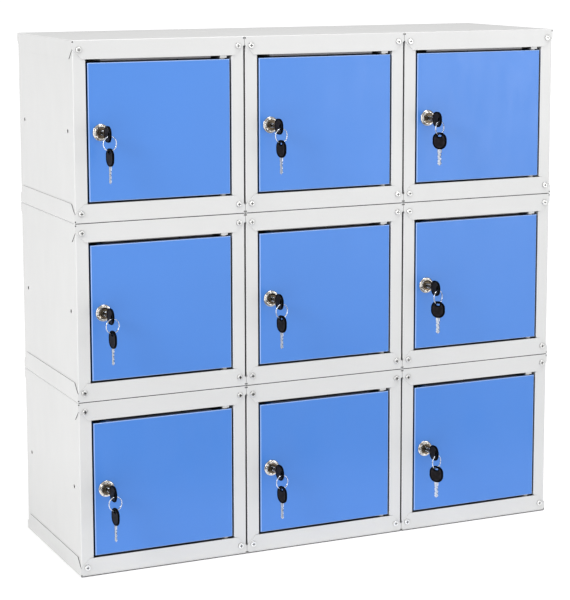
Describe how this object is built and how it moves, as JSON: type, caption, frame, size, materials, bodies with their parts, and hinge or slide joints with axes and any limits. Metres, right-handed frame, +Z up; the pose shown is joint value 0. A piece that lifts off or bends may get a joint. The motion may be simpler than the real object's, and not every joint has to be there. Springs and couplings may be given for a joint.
{
  "type": "cube locker bank",
  "caption": "Stacked bank of steel cube lockers with blue hinged doors, each with a key-operated cam lock, a key in the lock and a spare key on a split ring",
  "frame": {"origin": "on the floor, at the centre of the carcass's footprint", "axes": "+Z up, doors face -Y, +X to the right of a person who faces the doors"},
  "size_m": [0.9114, 0.3625, 0.9],
  "materials": {
    "grey_powder_coat": "satin light grey powder coat on folded sheet steel",
    "blue_powder_coat": "satin mid-blue powder coat on folded sheet steel",
    "painted_screw": "light grey coated pan-head screw",
    "zinc_steel": "bright zinc-plated steel",
    "white_nylon": "plain white nylon",
    "nickel": "bright nickel-plated zinc casting",
    "key_nickel": "nickel-plated steel wire and key blade, with a black plastic bow",
    "black_key_plastic": "black moulded plastic bow on a nickel-plated blade"
  },
  "bodies": {
    "carcass": {"top_panels": "grey_powder_coat", "bottom_panels": "grey_powder_coat", "left_side_panels": "grey_powder_coat", "right_side_panels": "grey_powder_coat", "back_panels": "grey_powder_coat", "gap_covers": "grey_powder_coat", "hinge_brackets": "grey_powder_coat", "hinge_pins": "zinc_steel", "hinge_bushes": "white_nylon", "front_corner_screws": "painted_screw", "rear_corner_screws": "painted_screw", "front_corner_nuts": "zinc_steel", "rear_corner_nuts": "zinc_steel", "joining_bolts": "zinc_steel", "joining_nuts": "zinc_steel"},
    "door_body_r1c1": {"door_r1c1": "blue_powder_coat", "lock_barrel_r1c1": "nickel"},
    "lock_body_r1c1": {"lock_cam_r1c1": "zinc_steel", "lock_key_r1c1": "black_key_plastic"},
    "keyring_body_r1c1": {"spare_key_r1c1": "key_nickel"},
    "door_body_r1c2": {"door_r1c2": "blue_powder_coat", "lock_barrel_r1c2": "nickel"},
    "lock_body_r1c2": {"lock_cam_r1c2": "zinc_steel", "lock_key_r1c2": "black_key_plastic"},
    "keyring_body_r1c2": {"spare_key_r1c2": "key_nickel"},
    "door_body_r1c3": {"door_r1c3": "blue_powder_coat", "lock_barrel_r1c3": "nickel"},
    "lock_body_r1c3": {"lock_cam_r1c3": "zinc_steel", "lock_key_r1c3": "black_key_plastic"},
    "keyring_body_r1c3": {"spare_key_r1c3": "key_nickel"},
    "door_body_r2c1": {"door_r2c1": "blue_powder_coat", "lock_barrel_r2c1": "nickel"},
    "lock_body_r2c1": {"lock_cam_r2c1": "zinc_steel", "lock_key_r2c1": "black_key_plastic"},
    "keyring_body_r2c1": {"spare_key_r2c1": "key_nickel"},
    "door_body_r2c2": {"door_r2c2": "blue_powder_coat", "lock_barrel_r2c2": "nickel"},
    "lock_body_r2c2": {"lock_cam_r2c2": "zinc_steel", "lock_key_r2c2": "black_key_plastic"},
    "keyring_body_r2c2": {"spare_key_r2c2": "key_nickel"},
    "door_body_r2c3": {"door_r2c3": "blue_powder_coat", "lock_barrel_r2c3": "nickel"},
    "lock_body_r2c3": {"lock_cam_r2c3": "zinc_steel", "lock_key_r2c3": "black_key_plastic"},
    "keyring_body_r2c3": {"spare_key_r2c3": "key_nickel"},
    "door_body_r3c1": {"door_r3c1": "blue_powder_coat", "lock_barrel_r3c1": "nickel"},
    "lock_body_r3c1": {"lock_cam_r3c1": "zinc_steel", "lock_key_r3c1": "black_key_plastic"},
    "keyring_body_r3c1": {"spare_key_r3c1": "key_nickel"},
    "door_body_r3c2": {"door_r3c2": "blue_powder_coat", "lock_barrel_r3c2": "nickel"},
    "lock_body_r3c2": {"lock_cam_r3c2": "zinc_steel", "lock_key_r3c2": "black_key_plastic"},
    "keyring_body_r3c2": {"spare_key_r3c2": "key_nickel"},
    "door_body_r3c3": {"door_r3c3": "blue_powder_coat", "lock_barrel_r3c3": "nickel"},
    "lock_body_r3c3": {"lock_cam_r3c3": "zinc_steel", "lock_key_r3c3": "black_key_plastic"},
    "keyring_body_r3c3": {"spare_key_r3c3": "key_nickel"}
  },
  "joints": [
    {"name": "door_hinge_r1c1", "type": "hinge", "parent": "carcass", "child": "door_body_r1c1", "pos_m": [-0.1898, -0.1427, 0.7485], "axis": [0, 0, 1], "range_deg": [0, 110]},
    {"name": "lock_turn_r1c1", "type": "hinge", "parent": "door_body_r1c1", "child": "lock_body_r1c1", "pos_m": [-0.4082, -0.1507, 0.7485], "axis": [0, 1, 0], "range_deg": [0, 90]},
    {"name": "keyring_swing_r1c1", "type": "hinge", "parent": "lock_body_r1c1", "child": "keyring_body_r1c1", "pos_m": [-0.4082, -0.1946, 0.7461], "axis": [1, 0, 0], "range_deg": [-60, 18]},
    {"name": "door_hinge_r1c2", "type": "hinge", "parent": "carcass", "child": "door_body_r1c2", "pos_m": [0.1142, -0.1427, 0.7485], "axis": [0, 0, 1], "range_deg": [0, 110]},
    {"name": "lock_turn_r1c2", "type": "hinge", "parent": "door_body_r1c2", "child": "lock_body_r1c2", "pos_m": [-0.1042, -0.1507, 0.7485], "axis": [0, 1, 0], "range_deg": [0, 90]},
    {"name": "keyring_swing_r1c2", "type": "hinge", "parent": "lock_body_r1c2", "child": "keyring_body_r1c2", "pos_m": [-0.1042, -0.1946, 0.7461], "axis": [0.9962, 0.0872, 0], "range_deg": [-60, 18]},
    {"name": "door_hinge_r1c3", "type": "hinge", "parent": "carcass", "child": "door_body_r1c3", "pos_m": [0.4182, -0.1427, 0.7485], "axis": [0, 0, 1], "range_deg": [0, 110]},
    {"name": "lock_turn_r1c3", "type": "hinge", "parent": "door_body_r1c3", "child": "lock_body_r1c3", "pos_m": [0.1998, -0.1507, 0.7485], "axis": [0, 1, 0], "range_deg": [0, 90]},
    {"name": "keyring_swing_r1c3", "type": "hinge", "parent": "lock_body_r1c3", "child": "keyring_body_r1c3", "pos_m": [0.1998, -0.1946, 0.7461], "axis": [0.9511, 0.309, 0], "range_deg": [-60, 18]},
    {"name": "door_hinge_r2c1", "type": "hinge", "parent": "carcass", "child": "door_body_r2c1", "pos_m": [-0.1898, -0.1427, 0.4485], "axis": [0, 0, 1], "range_deg": [0, 110]},
    {"name": "lock_turn_r2c1", "type": "hinge", "parent": "door_body_r2c1", "child": "lock_body_r2c1", "pos_m": [-0.4082, -0.1507, 0.4485], "axis": [0, 1, 0], "range_deg": [0, 90]},
    {"name": "keyring_swing_r2c1", "type": "hinge", "parent": "lock_body_r2c1", "child": "keyring_body_r2c1", "pos_m": [-0.4082, -0.1946, 0.4461], "axis": [1, 0, 0], "range_deg": [-60, 18]},
    {"name": "door_hinge_r2c2", "type": "hinge", "parent": "carcass", "child": "door_body_r2c2", "pos_m": [0.1142, -0.1427, 0.4485], "axis": [0, 0, 1], "range_deg": [0, 110]},
    {"name": "lock_turn_r2c2", "type": "hinge", "parent": "door_body_r2c2", "child": "lock_body_r2c2", "pos_m": [-0.1042, -0.1507, 0.4485], "axis": [0, 1, 0], "range_deg": [0, 90]},
    {"name": "keyring_swing_r2c2", "type": "hinge", "parent": "lock_body_r2c2", "child": "keyring_body_r2c2", "pos_m": [-0.1042, -0.1946, 0.4461], "axis": [0.9962, 0.0872, 0], "range_deg": [-60, 18]},
    {"name": "door_hinge_r2c3", "type": "hinge", "parent": "carcass", "child": "door_body_r2c3", "pos_m": [0.4182, -0.1427, 0.4485], "axis": [0, 0, 1], "range_deg": [0, 110]},
    {"name": "lock_turn_r2c3", "type": "hinge", "parent": "door_body_r2c3", "child": "lock_body_r2c3", "pos_m": [0.1998, -0.1507, 0.4485], "axis": [0, 1, 0], "range_deg": [0, 90]},
    {"name": "keyring_swing_r2c3", "type": "hinge", "parent": "lock_body_r2c3", "child": "keyring_body_r2c3", "pos_m": [0.1998, -0.1946, 0.4461], "axis": [0.9511, 0.309, 0], "range_deg": [-60, 18]},
    {"name": "door_hinge_r3c1", "type": "hinge", "parent": "carcass", "child": "door_body_r3c1", "pos_m": [-0.1898, -0.1427, 0.1485], "axis": [0, 0, 1], "range_deg": [0, 110]},
    {"name": "lock_turn_r3c1", "type": "hinge", "parent": "door_body_r3c1", "child": "lock_body_r3c1", "pos_m": [-0.4082, -0.1507, 0.1485], "axis": [0, 1, 0], "range_deg": [0, 90]},
    {"name": "keyring_swing_r3c1", "type": "hinge", "parent": "lock_body_r3c1", "child": "keyring_body_r3c1", "pos_m": [-0.4082, -0.1946, 0.1461], "axis": [1, 0, 0], "range_deg": [-60, 18]},
    {"name": "door_hinge_r3c2", "type": "hinge", "parent": "carcass", "child": "door_body_r3c2", "pos_m": [0.1142, -0.1427, 0.1485], "axis": [0, 0, 1], "range_deg": [0, 110]},
    {"name": "lock_turn_r3c2", "type": "hinge", "parent": "door_body_r3c2", "child": "lock_body_r3c2", "pos_m": [-0.1042, -0.1507, 0.1485], "axis": [0, 1, 0], "range_deg": [0, 90]},
    {"name": "keyring_swing_r3c2", "type": "hinge", "parent": "lock_body_r3c2", "child": "keyring_body_r3c2", "pos_m": [-0.1042, -0.1946, 0.1461], "axis": [0.9962, 0.0872, 0], "range_deg": [-60, 18]},
    {"name": "door_hinge_r3c3", "type": "hinge", "parent": "carcass", "child": "door_body_r3c3", "pos_m": [0.4182, -0.1427, 0.1485], "axis": [0, 0, 1], "range_deg": [0, 110]},
    {"name": "lock_turn_r3c3", "type": "hinge", "parent": "door_body_r3c3", "child": "lock_body_r3c3", "pos_m": [0.1998, -0.1507, 0.1485], "axis": [0, 1, 0], "range_deg": [0, 90]},
    {"name": "keyring_swing_r3c3", "type": "hinge", "parent": "lock_body_r3c3", "child": "keyring_body_r3c3", "pos_m": [0.1998, -0.1946, 0.1461], "axis": [0.9511, 0.309, 0], "range_deg": [-60, 18]}
  ]
}
